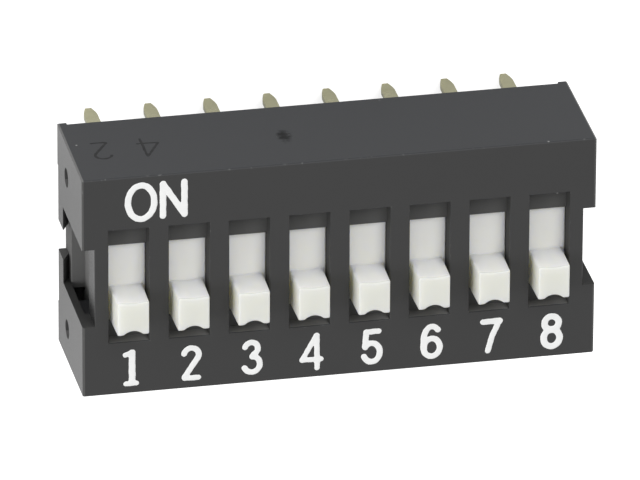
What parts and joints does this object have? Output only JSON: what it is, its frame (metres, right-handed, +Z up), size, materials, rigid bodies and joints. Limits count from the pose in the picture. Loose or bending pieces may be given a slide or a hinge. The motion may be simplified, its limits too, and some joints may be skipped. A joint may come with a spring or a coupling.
{
  "type": "dip switch",
  "caption": "Row of small slide switches in one flat housing, set by white knobs in slots, with two rows of pins that plug into or solder to a circuit board.",
  "frame": {"origin": "middle of the underside of the base, in the plane that sits on the circuit board", "axes": "+X along the row from switch 1 to the last switch, +Y towards the ON side, +Z up through the knobs, pins pointing down"},
  "size_m": [0.0218, 0.01, 0.0101],
  "materials": {
    "housing": "black glass-filled thermoplastic, satin, slightly scuffed, with white printed numbers and ON",
    "base": "black glass-filled thermoplastic, satin",
    "slider": "white thermoplastic, smooth, moulded",
    "contact_spring": "thin copper alloy strip, gold plated",
    "on_terminal": "copper alloy, tin plated, pale champagne",
    "number_terminal": "copper alloy, tin plated, pale champagne"
  },
  "bodies": {
    "housing": {"housing": "housing", "base": "base", "on_terminal_1": "on_terminal", "on_terminal_2": "on_terminal", "on_terminal_3": "on_terminal", "on_terminal_4": "on_terminal", "on_terminal_5": "on_terminal", "on_terminal_6": "on_terminal", "on_terminal_7": "on_terminal", "on_terminal_8": "on_terminal", "number_terminal_1": "number_terminal", "number_terminal_2": "number_terminal", "number_terminal_3": "number_terminal", "number_terminal_4": "number_terminal", "number_terminal_5": "number_terminal", "number_terminal_6": "number_terminal", "number_terminal_7": "number_terminal", "number_terminal_8": "number_terminal"},
    "switch_1": {"slider_1": "slider", "contact_spring_1": "contact_spring"},
    "switch_2": {"slider_2": "slider", "contact_spring_2": "contact_spring"},
    "switch_3": {"slider_3": "slider", "contact_spring_3": "contact_spring"},
    "switch_4": {"slider_4": "slider", "contact_spring_4": "contact_spring"},
    "switch_5": {"slider_5": "slider", "contact_spring_5": "contact_spring"},
    "switch_6": {"slider_6": "slider", "contact_spring_6": "contact_spring"},
    "switch_7": {"slider_7": "slider", "contact_spring_7": "contact_spring"},
    "switch_8": {"slider_8": "slider", "contact_spring_8": "contact_spring"}
  },
  "joints": [
    {"name": "switch_1_slide", "type": "slide", "parent": "housing", "child": "switch_1", "axis": [0, 1, 0], "range_m": [0, 0.00185]},
    {"name": "switch_2_slide", "type": "slide", "parent": "housing", "child": "switch_2", "axis": [0, 1, 0], "range_m": [0, 0.00185]},
    {"name": "switch_3_slide", "type": "slide", "parent": "housing", "child": "switch_3", "axis": [0, 1, 0], "range_m": [0, 0.00185]},
    {"name": "switch_4_slide", "type": "slide", "parent": "housing", "child": "switch_4", "axis": [0, 1, 0], "range_m": [0, 0.00185]},
    {"name": "switch_5_slide", "type": "slide", "parent": "housing", "child": "switch_5", "axis": [0, 1, 0], "range_m": [0, 0.00185]},
    {"name": "switch_6_slide", "type": "slide", "parent": "housing", "child": "switch_6", "axis": [0, 1, 0], "range_m": [0, 0.00185]},
    {"name": "switch_7_slide", "type": "slide", "parent": "housing", "child": "switch_7", "axis": [0, 1, 0], "range_m": [0, 0.00185]},
    {"name": "switch_8_slide", "type": "slide", "parent": "housing", "child": "switch_8", "axis": [0, 1, 0], "range_m": [0, 0.00185]}
  ]
}
